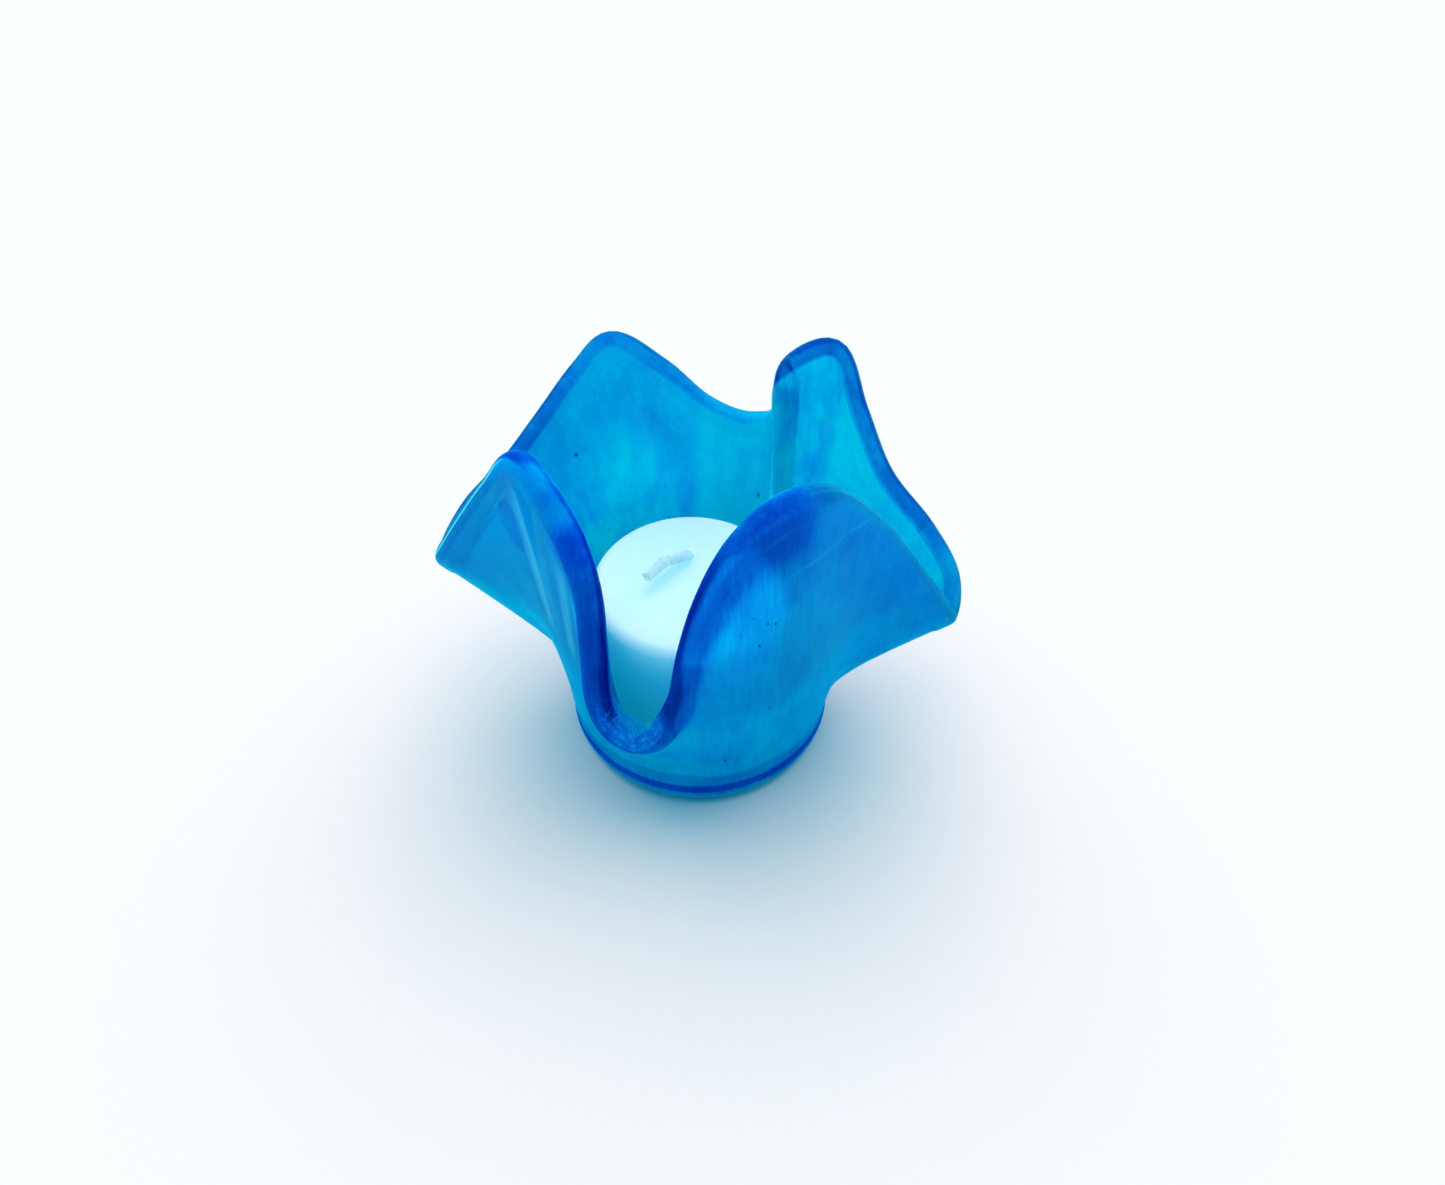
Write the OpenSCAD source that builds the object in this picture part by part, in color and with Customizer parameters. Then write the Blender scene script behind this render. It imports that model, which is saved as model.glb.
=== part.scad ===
// Draped glass votive holder with a short votive candle standing in it.
// Lengths are in millimetres and angles in degrees. +Z is up, the origin is the
// centre of the foot on the table, and -Y is the front, where the rim dips lowest.

/* [Candle] */
// Diameter of the candle at its top edge
candle_d = 38; // [35:0.5:40]
// Height of the candle
candle_h = 31.5; // [26:0.5:40]
// How much narrower the candle is at its base, in diameter
candle_taper = 1.6; // [0:0.1:3]
// Rounding of the candle's top edge
candle_top_round = 2.2; // [1:0.1:3]
// Rounding of the candle's bottom edge
candle_base_round = 1.8; // [1:0.1:2.5]
// How far the candle stands to the left of the cup's centre
candle_shift = 1.7; // [0:0.1:1.9]

/* [Wick] */
// Diameter of the waxed wick
wick_d = 2; // [1.4:0.1:2.4]
// How far behind the candle's centre the wick comes out
wick_back = 6.3; // [0:0.1:8]
// Compass direction in which the wick is bent over, from +X
wick_turn = 219; // [200:1:240]
// Angle of the bend from straight up to lying down
wick_bend = 62; // [50:1:70]
// Inside radius of the bend
wick_bend_r = 1; // [0.6:0.1:2]
// Length of the wick from the bend to the lump of wax
wick_first = 5.5; // [3:0.5:8]
// Length of the wick from the lump of wax to its cut end
wick_last = 5.2; // [3:0.5:8]
// Diameter of the lump of wax on the wick
wick_lump_d = 2.7; // [2.6:0.1:3.4]
// How much further down the wick droops towards its cut end
wick_droop = 26; // [0:1:28]
// Sideways kink of the wick at the lump
wick_kink = 14; // [0:1:30]
// Clearance around the wick in the wax and in its holder
wick_gap = 0.1; // [0.05:0.01:0.2]

/* [Wick tab] */
// Diameter of the tin tab under the candle
tab_d = 13; // [10:0.5:16]
// Thickness of the tab
tab_t = 0.4; // [0.3:0.05:0.6]
// Height of the tab's neck
neck_h = 2.6; // [2:0.1:4]
// Wall of the tab's neck
neck_wall = 0.5; // [0.4:0.05:0.8]
// Clearance between the tab and the wax
tab_gap = 0.15; // [0.1:0.01:0.3]

/* [Glass] */
// Thickness of the fused glass sheet
glass_t = 5.2; // [4:0.1:5.6]
// Clearance between the candle and the cup, on the radius
cup_gap = 2.3; // [2.2:0.1:4]
// Thickness of the glass floor
floor_t = 6; // [5:0.1:8]
// Rounding of the foot's outer edge
foot_round = 4; // [2:0.1:4.5]
// Rounding of the corner between the floor and the wall
floor_round = 1.5; // [1:0.1:2]
// Outward lean of the wall just above the foot
wall_lean = 8; // [4:0.5:9]
// Share of the way to the rim at which each wall line bends over
wall_bend = 0.52; // [0.48:0.01:0.56]
// How much glass is left on the inside of a tight fold, as a share of its radius
fold_fill = 0.8; // [0.6:0.05:0.85]

/* [Rim: reach beyond the foot's edge] */
// Reach of the right wing
wing_right_reach = 22; // [20:0.5:24]
// Reach of the back right corner
back_right_reach = 9; // [8:0.5:11]
// Reach of the fold beside the back right corner
back_fold_reach = 3.6; // [3:0.1:5]
// Reach of the dip at the back
dip_back_reach = 9.5; // [8:0.5:11]
// Reach of the back left corner
back_left_reach = 14.5; // [13:0.5:16]
// Reach of the left wing
wing_left_reach = 25.5; // [23:0.5:27]
// Reach of the front left corner
front_left_reach = 4.5; // [4:0.1:6]
// Reach of the dip at the front
dip_front_reach = 4.5; // [4:0.1:6]
// Reach of the front right corner
front_right_reach = 1; // [0.5:0.1:2]

/* [Rim: height above the table] */
// Height of the right wing
wing_right_h = 30; // [28:0.5:33]
// Height of the back right corner
back_right_h = 73; // [68:0.5:78]
// Height of the fold beside the back right corner
back_fold_h = 64; // [60:0.5:66]
// Height of the dip at the back
dip_back_h = 48; // [44:0.5:52]
// Height of the back left corner
back_left_h = 66; // [62:0.5:72]
// Height of the left wing
wing_left_h = 33; // [31:0.5:36]
// Height of the front left corner
front_left_h = 75; // [70:0.5:80]
// Height of the dip at the front
dip_front_h = 24.8; // [23:0.1:28]
// Height of the front right corner
front_right_h = 78; // [73:0.5:83]
// How strongly the lip of the front dip turns over, as a share of its height
lip_lift = 0.4; // [0.3:0.05:0.5]
// Width of that turned lip, in degrees around the foot
lip_width = 13; // [11:0.5:15]

/* [Hidden] */
round_fn = 96;
overlap = 0.01;

// Sizes that follow from the ones above
candle_r = candle_d / 2;
cup_r = candle_r + cup_gap;
foot_r = cup_r + glass_t;
wall_z = floor_t + floor_round;
mid_r = foot_r - glass_t / 2;
candle_top = floor_t + candle_h;
wick_r = wick_d / 2;

// The main points of the rim, anticlockwise from the right wing: azimuth, reach,
// height, azimuth of the wall line's foot, and the share of the height over which
// the wall line stays upright.
MAIN = [
    [358, wing_right_reach, wing_right_h, 355, 0.30],
    [405, back_right_reach, back_right_h, 403, 0.34],
    [416, back_fold_reach, back_fold_h, 409, 0.37],
    [436, dip_back_reach, dip_back_h, 431, 0.41],
    [475, back_left_reach, back_left_h, 473, 0.44],
    [527, wing_left_reach, wing_left_h, 526, 0.18],
    [557, front_left_reach, front_left_h, 558, 0.06],
    [609, dip_front_reach, dip_front_h, 608, 0.55],
    [658, front_right_reach, front_right_h, 656, 0.46]
];

// The points between each main point and the next: share of the azimuth, bulge of
// the edge in millimetres, share of the height and share of the foot's azimuth.
BETWEEN = [
    [[0.15, 2.5, 0.10, 0.20], [0.32, 1.0, 0.25, 0.40], [0.55, -2.5, 0.47, 0.60],
     [0.79, -1.5, 0.74, 0.80]],
    [[0.75, -1.0, 0.30, 0.50]],
    [[0.20, 2.5, 0.56, 0.20], [0.55, 3.5, 0.94, 0.50]],
    [[0.33, -3.5, 0.28, 0.40], [0.69, -3.5, 0.75, 0.70]],
    [[0.17, -2.0, 0.12, 0.20], [0.44, -5.0, 0.35, 0.42], [0.68, -5.5, 0.56, 0.62],
     [0.87, -3.0, 0.74, 0.83]],
    [[0.34, -2.0, 0.42, 0.30], [0.71, -2.0, 0.80, 0.65]],
    [[0.32, -1.5, 0.00, 0.16], [0.53, -2.0, 0.12, 0.30], [0.65, -2.0, 0.34, 0.44],
     [0.71, -0.5, 0.59, 0.58], [0.76, 1.0, 0.82, 0.72], [0.85, 1.0, 0.94, 0.86]],
    [[0.14, -0.5, 0.03, 0.13], [0.24, -1.5, 0.11, 0.26], [0.32, -2.0, 0.21, 0.40],
     [0.39, -3.0, 0.40, 0.52], [0.54, -2.0, 0.68, 0.67], [0.75, -0.5, 0.91, 0.83]],
    [[0.29, -6.5, 0.03, 0.22], [0.62, -12.0, 0.21, 0.46], [0.86, -11.5, 0.48, 0.68],
     [0.94, -6.0, 0.75, 0.85]]
];
dip_foot_az = MAIN[7][3];

// How finely the glass is drawn
steps_between = 3;
wall_steps = 12;
rim_steps = 5;
foot_steps = 4;
corner_steps = 3;
bend_steps = 5;
wick_sides = 12;

function mix(a, b, t) = a + (b - a) * t;
function smooth(t) = t * t * (3 - 2 * t);
function bell(x) = exp(-x * x);
function unit(v) = v / norm(v);
function radial(az) = [cos(az), sin(az), 0];

// One point of the rim's middle line: x, y, z, azimuth of its foot, upright share
function main_point(k) = k < len(MAIN) ? MAIN[k] : MAIN[0] + [360, 0, 0, 360, 0];
function rim_point(k, share) =
    let (
        a = main_point(k),
        b = main_point(k + 1),
        az = mix(a[0], b[0], share[0]),
        r = foot_r + mix(a[1], b[1], share[0]) + share[1]
    )
    [
        r * cos(az),
        r * sin(az),
        mix(a[2], b[2], share[2]),
        mix(a[3], b[3], share[3]),
        mix(a[4], b[4], smooth(share[3]))
    ];
RIM_POINTS = [
    for (k = [0 : len(MAIN) - 1])
        for (share = concat([[0, 0, 0, 0]], BETWEEN[k])) rim_point(k, share)
];
rim_n = len(RIM_POINTS);

// A smooth closed curve through the rim's points, with the spacing of its knots
// taken from the distances between them
function knot(i) = RIM_POINTS[(i + rim_n) % rim_n] + floor(i / rim_n) * [0, 0, 0, 360, 0];
function xyz(p) = [p[0], p[1], p[2]];
function gap(i) = sqrt(norm(xyz(knot(i + 1)) - xyz(knot(i))));
function slope(i) =
    (knot(i) - knot(i - 1)) / gap(i - 1)
    - (knot(i + 1) - knot(i - 1)) / (gap(i - 1) + gap(i))
    + (knot(i + 1) - knot(i)) / gap(i);
function on_rim(i, t) =
    (2 * t * t * t - 3 * t * t + 1) * knot(i)
    + (t * t * t - 2 * t * t + t) * gap(i) * slope(i)
    + (3 * t * t - 2 * t * t * t) * knot(i + 1)
    + (t * t * t - t * t) * gap(i) * slope(i + 1);
RIM = [
    for (i = [0 : rim_n - 1])
        for (s = [0 : steps_between - 1]) on_rim(i, s / steps_between)
];
ring_n = len(RIM);

// The middle surface of the wall: each wall line is a curve from the foot to the rim
function upright(p) = p[4] + lip_lift * bell((p[3] - dip_foot_az) / lip_width);
function wall_line(p, v) =
    let (
        rise = upright(p) * (p[2] - wall_z),
        a = mid_r * radial(p[3]) + [0, 0, wall_z],
        b = a + rise * (sin(wall_lean) * radial(p[3]) + [0, 0, cos(wall_lean)]),
        d = xyz(p),
        c = mix(b, d, wall_bend),
        w = 1 - v
    )
    w * w * w * a + 3 * w * w * v * b + 3 * w * v * v * c + v * v * v * d;
MID = [for (k = [0 : wall_steps]) [for (p = RIM) wall_line(p, k / wall_steps)]];

// Unit vectors along the edge, up the wall and out of the glass
function next(j) = (j + 1) % ring_n;
function last(j) = (j + ring_n - 1) % ring_n;
function along(k, j) = MID[k][next(j)] - MID[k][last(j)];
function upward(k, j) = MID[min(k + 1, wall_steps)][j] - MID[max(k - 1, 0)][j];
function outward(k, j) =
    k == 0 ? radial(RIM[j][3]) : unit(cross(along(k, j), upward(k, j)));
function over(j) = unit(cross(outward(wall_steps, j), along(wall_steps, j)));

// How sharply the wall turns along the edge, and how far each face of the glass
// lies from the middle surface: less on the inside of a tight fold
function turning(k, j) =
    k == 0 ? 1 / mid_r
    : (outward(k, next(j)) - outward(k, last(j))) * along(k, j) / (along(k, j) * along(k, j));
function face(sharpness) =
    glass_t / 2 / sqrt(1 + pow(glass_t / 2 * max(sharpness, 0) / fold_fill, 2));
OUTSIDE = [for (k = [0 : wall_steps]) [for (j = [0 : ring_n - 1])
    k == 0 ? glass_t / 2 : face(-turning(k, j))]];
INSIDE = [for (k = [0 : wall_steps]) [for (j = [0 : ring_n - 1])
    k == 0 ? glass_t / 2 : face(turning(k, j))]];

// Rings of points around the glass, from under the foot, up the outside, over the
// rounded rim, down the inside and to the floor
function level_ring(r, z) = [for (p = RIM) r * radial(p[3]) + [0, 0, z]];
function outer_ring(k) = [for (j = [0 : ring_n - 1]) MID[k][j] + OUTSIDE[k][j] * outward(k, j)];
function inner_ring(k) = [for (j = [0 : ring_n - 1]) MID[k][j] - INSIDE[k][j] * outward(k, j)];
function lip_ring(turn) = [
    for (j = [0 : ring_n - 1])
        let (
            out = OUTSIDE[wall_steps][j],
            in = INSIDE[wall_steps][j],
            middle = MID[wall_steps][j] + (out - in) / 2 * outward(wall_steps, j)
        )
        middle + (out + in) / 2 * (cos(turn) * outward(wall_steps, j) + sin(turn) * over(j))
];
RINGS = concat(
    [for (s = [0 : foot_steps])
        let (turn = 90 * s / foot_steps)
        level_ring(foot_r - foot_round * (1 - sin(turn)), foot_round * (1 - cos(turn)))],
    [for (k = [0 : wall_steps]) outer_ring(k)],
    [for (s = [1 : rim_steps - 1]) lip_ring(180 * s / rim_steps)],
    [for (k = [wall_steps : -1 : 0]) inner_ring(k)],
    [for (s = [1 : corner_steps])
        let (turn = 90 * s / corner_steps)
        level_ring(cup_r - floor_round * (1 - cos(turn)), wall_z - floor_round * sin(turn))]
);
ring_count = len(RINGS);
GLASS_POINTS = [for (ring = RINGS) each ring];
GLASS_FACES = concat(
    [[for (j = [0 : ring_n - 1]) j]],
    [for (k = [0 : ring_count - 2])
        for (j = [0 : ring_n - 1])
            each [
                [k * ring_n + j, (k + 1) * ring_n + j, (k + 1) * ring_n + next(j)],
                [k * ring_n + j, (k + 1) * ring_n + next(j), k * ring_n + next(j)]
            ]],
    [[for (j = [ring_n - 1 : -1 : 0]) (ring_count - 1) * ring_n + j]]
);

// The wick's middle line, with X pointing the way it is bent over: x, y, z, radius
function heading(bend, side) = [sin(bend) * cos(side), sin(bend) * sin(side), cos(bend)];
wick_bend_mid = wick_bend_r + wick_r;
wick_stem_top = candle_h - wick_bend_mid * sin(wick_bend) / 3;
wick_lean = [
    for (s = [0 : bend_steps])
        let (turn = wick_bend * s / bend_steps)
        wick_bend_mid * [1 - cos(turn), 0, sin(turn)] + [0, 0, wick_stem_top]
];
wick_lump = wick_lean[bend_steps] + wick_first * heading(wick_bend + wick_droop / 2, 0);
wick_tip = wick_lump + wick_last * heading(wick_bend + wick_droop, wick_kink);
function with_r(p, r) = [p[0], p[1], p[2], r];
WICK_PATH = concat(
    [with_r([0, 0, tab_t], wick_r)],
    [for (p = wick_lean) with_r(p, wick_r)],
    [with_r(mix(wick_lean[bend_steps], wick_lump, 0.55), wick_r * 1.04)],
    [with_r(mix(wick_lean[bend_steps], wick_lump, 0.84), wick_r)],
    [with_r(wick_lump, wick_lump_d / 2)],
    [with_r(mix(wick_lump, wick_tip, 0.22), wick_r)],
    [with_r(mix(wick_lump, wick_tip, 0.6), wick_r * 0.96)],
    [with_r(wick_tip, wick_r * 1.02)]
);
wick_n = len(WICK_PATH);
function wick_way(i) =
    unit(xyz(WICK_PATH[min(i + 1, wick_n - 1)]) - xyz(WICK_PATH[max(i - 1, 0)]));
WICK_POINTS = [
    for (i = [0 : wick_n - 1])
        let (
            way = i == 0 ? [0, 0, 1] : wick_way(i),
            side = unit(cross([0, 1, 0], way)),
            back = cross(way, side)
        )
        for (s = [0 : wick_sides - 1])
            let (turn = 360 * s / wick_sides)
            xyz(WICK_PATH[i]) + WICK_PATH[i][3] * (cos(turn) * side + sin(turn) * back)
];
WICK_FACES = concat(
    [[for (s = [0 : wick_sides - 1]) s]],
    [for (i = [0 : wick_n - 2])
        for (s = [0 : wick_sides - 1])
            let (
                a = i * wick_sides + s,
                b = i * wick_sides + (s + 1) % wick_sides
            )
            each [[a, a + wick_sides, b + wick_sides], [a, b + wick_sides, b]]],
    [[for (s = [wick_sides - 1 : -1 : 0]) (wick_n - 1) * wick_sides + s]]
);

// One sheet of fused glass, draped into a cup with a wavy rim
module glass_holder() {
    color([0.02, 0.62, 0.84, 0.55])
        polyhedron(points = GLASS_POINTS, faces = GLASS_FACES, convexity = 10);
}

module at_candle() {
    translate([-candle_shift, 0, floor_t]) children();
}

module at_wick() {
    at_candle() translate([0, wick_back, 0]) children();
}

// Half of the candle's outline, from its base to its top
module candle_profile() {
    base_r = candle_r - candle_taper / 2;
    hull() {
        square([overlap, candle_h]);
        translate([base_r - candle_base_round, candle_base_round])
            circle(candle_base_round, $fn = round_fn);
        translate([candle_r - candle_top_round, candle_h - candle_top_round])
            circle(candle_top_round, $fn = round_fn);
    }
}

// The wax, with the hole for its wick and the hollow for the tab under it
module candle_wax() {
    color([0.86, 0.97, 0.99])
        difference() {
            at_candle() rotate_extrude($fn = round_fn) candle_profile();
            at_wick() {
                translate([0, 0, -overlap])
                    cylinder(d = wick_d + 2 * wick_gap, h = candle_h + 1, $fn = round_fn);
                translate([0, 0, -overlap])
                    cylinder(d = tab_d + 2 * tab_gap, h = tab_t + overlap, $fn = round_fn);
                translate([0, 0, -overlap])
                    cylinder(
                        r = wick_r + wick_gap + neck_wall + tab_gap,
                        h = tab_t + neck_h + tab_gap + overlap,
                        $fn = round_fn
                    );
            }
        }
}

// The waxed cotton wick: upright in the wax, then bent over above it
module candle_wick() {
    color([0.93, 0.95, 0.93])
        at_wick()
            rotate([0, 0, wick_turn])
                polyhedron(points = WICK_POINTS, faces = WICK_FACES, convexity = 4);
}

// The tin tab that holds the wick's foot under the wax
module wick_tab() {
    color("silver")
        at_wick()
            difference() {
                union() {
                    cylinder(d = tab_d, h = tab_t, $fn = round_fn);
                    cylinder(r = wick_r + wick_gap + neck_wall, h = tab_t + neck_h, $fn = round_fn);
                }
                translate([0, 0, tab_t])
                    cylinder(r = wick_r + wick_gap, h = neck_h + 1, $fn = round_fn);
            }
}

glass_holder();
candle_wax();
candle_wick();
wick_tab();
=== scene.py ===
# %% [markdown]
# # A draped glass votive holder
# One square of fused turquoise glass was laid over a round post in the kiln, and its free
# parts sank into folds. Turned over, it is a cup with a wavy rim, and a short white votive
# candle stands in it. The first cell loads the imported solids, which fix every size and
# place in metres. What follows dresses them.

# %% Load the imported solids
import math
from functools import partial

import bpy
import numpy as np
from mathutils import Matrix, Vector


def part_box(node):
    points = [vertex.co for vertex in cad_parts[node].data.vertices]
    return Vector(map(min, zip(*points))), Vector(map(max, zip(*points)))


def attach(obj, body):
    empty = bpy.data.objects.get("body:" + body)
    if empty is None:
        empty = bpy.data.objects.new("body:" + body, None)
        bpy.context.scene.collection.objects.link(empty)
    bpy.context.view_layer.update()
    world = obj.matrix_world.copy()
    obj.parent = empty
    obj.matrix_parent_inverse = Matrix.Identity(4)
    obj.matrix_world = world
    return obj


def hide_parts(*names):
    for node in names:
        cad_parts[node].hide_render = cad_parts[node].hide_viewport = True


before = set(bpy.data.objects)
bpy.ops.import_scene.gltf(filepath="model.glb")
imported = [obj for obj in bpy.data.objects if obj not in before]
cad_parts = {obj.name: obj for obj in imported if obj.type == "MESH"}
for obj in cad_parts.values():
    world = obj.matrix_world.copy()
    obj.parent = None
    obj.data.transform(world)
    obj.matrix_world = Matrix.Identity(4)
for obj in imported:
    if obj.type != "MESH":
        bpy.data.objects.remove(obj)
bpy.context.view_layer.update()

MM = 0.001

# %% [markdown]
# ## Camera
# A small object on a table is seen from arm's length and from above, so that the eye
# looks over the low front dip and down onto the candle. The lens is a normal one, so the
# cup keeps its proportions.

# %% Camera
scene = bpy.context.scene
scene.view_settings.view_transform = "Standard"
LENS, SENSOR, NEAREST = 32.39, 36.0, 0.01
CAMERA_AT, TILT = (0.0047, -0.17316, 0.2192), math.radians(43.08)
camera_data = bpy.data.cameras.new("camera")
camera_data.lens = LENS
camera_data.sensor_width = SENSOR
camera_data.clip_start = NEAREST
camera = bpy.data.objects.new("camera", camera_data)
camera.location = CAMERA_AT
camera.rotation_euler = (TILT, 0.0, 0.0)
scene.collection.objects.link(camera)
scene.camera = camera
print("camera:", [round(v, 3) for v in camera.location])

# %% [markdown]
# ## Helpers
# Colours are written as hex, as a maker picks them on screen, and shaders want them
# linear. One function adds any node, in a shader or in geometry, with its settings and
# links. The others make a bare material and a plain mesh, and put values on its points.


# %% Helpers
def linear(hex_colour):
    """sRGB hex to the linear colour that shaders use."""
    channels = [int(hex_colour[i : i + 2], 16) / 255 for i in (1, 3, 5)]
    return [c / 12.92 if c <= 0.04045 else ((c + 0.055) / 1.055) ** 2.4 for c in channels] + [1.0]


def bright(hex_colour, strength):
    """A light's colour times its strength."""
    return [strength * c for c in linear(hex_colour)[:3]] + [1.0]


def add_node(tree, kind, inputs=None, **settings):
    """Adds a node with its settings, and sets or links its inputs by name or number."""
    node = tree.nodes.new(kind)
    for name, value in settings.items():
        setattr(node, name, value)
    for key, value in (inputs or {}).items():
        named = [s for s in node.inputs if s.enabled and s.name == key]
        socket = node.inputs[key] if isinstance(key, int) else named[0]
        if isinstance(value, bpy.types.Node):
            value = result(value)
        if isinstance(value, bpy.types.NodeSocket):
            tree.links.new(value, socket)
        else:
            socket.default_value = value
    return node


def result(node, name=None):
    """A node's output by name, or the first one that is switched on."""
    return [s for s in node.outputs if s.enabled and name in (None, s.name)][0]


def new_material(name):
    """A material with an empty tree, and the tree."""
    material = bpy.data.materials.new(name)
    material.use_nodes = True
    material.node_tree.nodes.clear()
    return material, material.node_tree


def mesh_object(name, points, faces, material=None, edges=()):
    """A smooth mesh from plain points and faces, placed in the scene."""
    mesh = bpy.data.meshes.new(name)
    mesh.from_pydata([tuple(p) for p in points], edges, [tuple(int(i) for i in f) for f in faces])
    mesh.polygons.foreach_set("use_smooth", [True] * len(mesh.polygons))
    if material:
        mesh.materials.append(material)
    piece = bpy.data.objects.new(name, mesh)
    scene.collection.objects.link(piece)
    return piece


def point_values(mesh, name, values):
    """Keeps one number on each point, for a material or a tree to read by name."""
    layer = mesh.attributes.new(name, "FLOAT", "POINT")
    layer.data.foreach_set("value", np.ravel(values).astype(np.float32))


print("helpers ready")

# %% [markdown]
# ## Light
# Thick coloured glass shows what shines through it more than what shines on it. So the
# room is bright behind and above the cup and dimmer, and bluer, on the viewer's side, like
# a light table against a wall. The change between the two is soft, and no lamp is needed.
# To the eye, in mirrors and through glass the room is a plain pale wall from every side.

# %% Light
ROOM_SIDE, WALL_SIDE, BRIGHT_SIDE = bright("#33d5ff", 0.60), bright("#adfff8", 2.14), bright("#ffcdc6", 3.85)
PALE_WALL = linear("#f2f6f7")
# Each bright patch of wall: its colour, how far up its middle is, and where it starts and is full
PATCHES = ((WALL_SIDE, math.radians(47), 0.2, 0.95), (BRIGHT_SIDE, math.radians(66), 0.68, 0.99))
BOUNCES, GLOSSY_BOUNCES = 32, 24
world = bpy.data.worlds.new("room")
world.use_nodes = True
scene.world = world
tree = world.node_tree
tree.nodes.clear()
direction = result(add_node(tree, "ShaderNodeTexCoord"), "Generated")
level = ROOM_SIDE
for colour, up, start, end in PATCHES:
    toward = add_node(tree, "ShaderNodeVectorMath", {
        0: direction, 1: (0.0, math.cos(up), math.sin(up))}, operation="DOT_PRODUCT")
    share = add_node(tree, "ShaderNodeMapRange", {
        "Value": toward, "From Min": start, "From Max": end}, interpolation_type="SMOOTHSTEP")
    level = result(add_node(tree, "ShaderNodeMix", {
        "Factor": share, "A": level, "B": colour}, data_type="RGBA", clamp_result=False))
sight = add_node(tree, "ShaderNodeLightPath")
seen = result(sight, "Is Camera Ray")
for ray in ("Is Transmission Ray", "Is Glossy Ray"):
    seen = add_node(tree, "ShaderNodeMath", {0: seen, 1: result(sight, ray)}, operation="MAXIMUM")
level = result(add_node(tree, "ShaderNodeMix", {
    "Factor": seen, "A": level, "B": PALE_WALL}, data_type="RGBA", clamp_result=False))
sky = add_node(tree, "ShaderNodeBackground", {"Color": level, "Strength": 1.0})
add_node(tree, "ShaderNodeOutputWorld", {"Surface": sky})
scene.cycles.max_bounces = scene.cycles.transmission_bounces = BOUNCES
scene.cycles.glossy_bounces = GLOSSY_BOUNCES
print("light:", *(["%.2f" % c for c in side[:3]] for side in (ROOM_SIDE, WALL_SIDE, BRIGHT_SIDE)))

# %% [markdown]
# ## Floor
# The cup stands on matt white card. Card has no shine, so it takes the soft blue shadow of
# the glass and nothing else. One large face is enough, as its edges lie far away.

# %% Floor
card, tree = new_material("matt_white_card")
shader = add_node(tree, "ShaderNodeBsdfPrincipled", {
    "Base Color": linear("#e2e2e2"), "Roughness": 0.9, "Specular IOR Level": 0.0})
add_node(tree, "ShaderNodeOutputMaterial", {"Surface": shader})
HALF = 3.0
corners = [(-HALF, -HALF, 0), (HALF, -HALF, 0), (HALF, HALF, 0), (-HALF, HALF, 0)]
floor = mesh_object("floor", corners, [(0, 1, 2, 3)], card)
print("floor:", 2 * HALF, "m square")

# %% [markdown]
# ## The glass as a material
# Fused soda-lime glass coloured with copper: it passes blue and green and stops red. Three
# things make its look. The clear part bends light and mirrors some of it at a glancing
# angle. The mass is slightly cloudy, with streaks and clouds from the sheet's rolling, so
# it also glows where light falls on it. And where the sheet ends, turns over or stands on
# its foot a deep blue band is painted in: painted shade for the darker blue that the bent
# and edge-on glass shows to the eye, where the fired edge is also a little thicker. Pale
# places and lines on it are painted light and painted highlights. The face that lay on the
# kiln shelf kept a fine frosted grain, and the other was fire polished.

# %% Glass colours, and the values that the mesh will carry
GLASS_IOR = 1.5
# Each scale goes from the lightest blue, used mostly for painted light where light comes through from behind, through
# the wall's own colour to deep and navy, used for painted shade at the edges, folds and foot
CLEAR_COLOURS = {
    "lightest": linear("#00fdff"), "wall": linear("#00e7fc"), "deep": linear("#00b1e7"), "navy": linear("#0059bc")}
CLOUD_COLOURS = {
    "lightest": linear("#00efff"), "wall": linear("#00b3ee"), "deep": linear("#0059c5"), "navy": linear("#001990")}
# The pale colour of the painted highlight along the near edge; the frost's sparkle and the crease's line take it too
LINE_COLOUR = linear("#45e1ff")
# SHINE_COLOUR whitens the mirror on the left lobe's ridges: a painted highlight
MIRROR_COLOUR, SHINE_COLOUR = linear("#38c4f7"), linear("#76f6ff")
glass, tree = new_material("fused_soda_lime_glass")
side, along_edge, depth, cloud, frost, shine, streaky, near = (
    result(add_node(tree, "ShaderNodeAttribute", attribute_name=name), "Fac")
    for name in ("kiln_side", "along_edge", "depth", "cloud", "frost", "shine", "streaky", "near"))
print("glass colours:", len(CLEAR_COLOURS), "clear,", len(CLOUD_COLOURS), "cloudy")

# %% [markdown]
# ## Patterns and marks in the glass
# The sheet has clouds, brush marks and fine streaks that run up the wall, for it sank that
# way, and a kiln grain on its shelf side. Noise textures make all four: they need no
# painting, and each has its size from the real one, in repeats to a metre. The grain is
# drawn twice as coarse as it is, or it would not show. The marks are a painted highlight,
# a light line along the near edge, a light line along a crease on the right lobe, and a
# painted dark reflection, an oval in the shine of the left one. Each is drawn from a
# distance, with soft ends.

# %% Glass patterns: streaks 0.7 mm wide, brush marks 3 mm, clouds 13 mm and kiln grain 0.7 mm
STREAKS, BRUSH_MARKS, CLOUDS, GRAINS = 1400.0, 300.0, 75.0, 1500.0
STREAK_DRAW, BRUSH_DRAW, BRUSH_TURN = (1.0, 1.0, 0.10), (1.0, 1.0, 0.3), (0.0, 0.6, 0.0)
place = result(add_node(tree, "ShaderNodeTexCoord"), "Object")
height = result(add_node(tree, "ShaderNodeSeparateXYZ", {0: place}), "Z")
drawn_out = add_node(tree, "ShaderNodeMapping", {"Vector": place, "Scale": STREAK_DRAW})
slanted = add_node(tree, "ShaderNodeMapping", {"Vector": place, "Rotation": BRUSH_TURN, "Scale": BRUSH_DRAW})
streaks = add_node(tree, "ShaderNodeTexNoise", {"Vector": drawn_out, "Scale": STREAKS, "Detail": 3.0})
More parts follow.
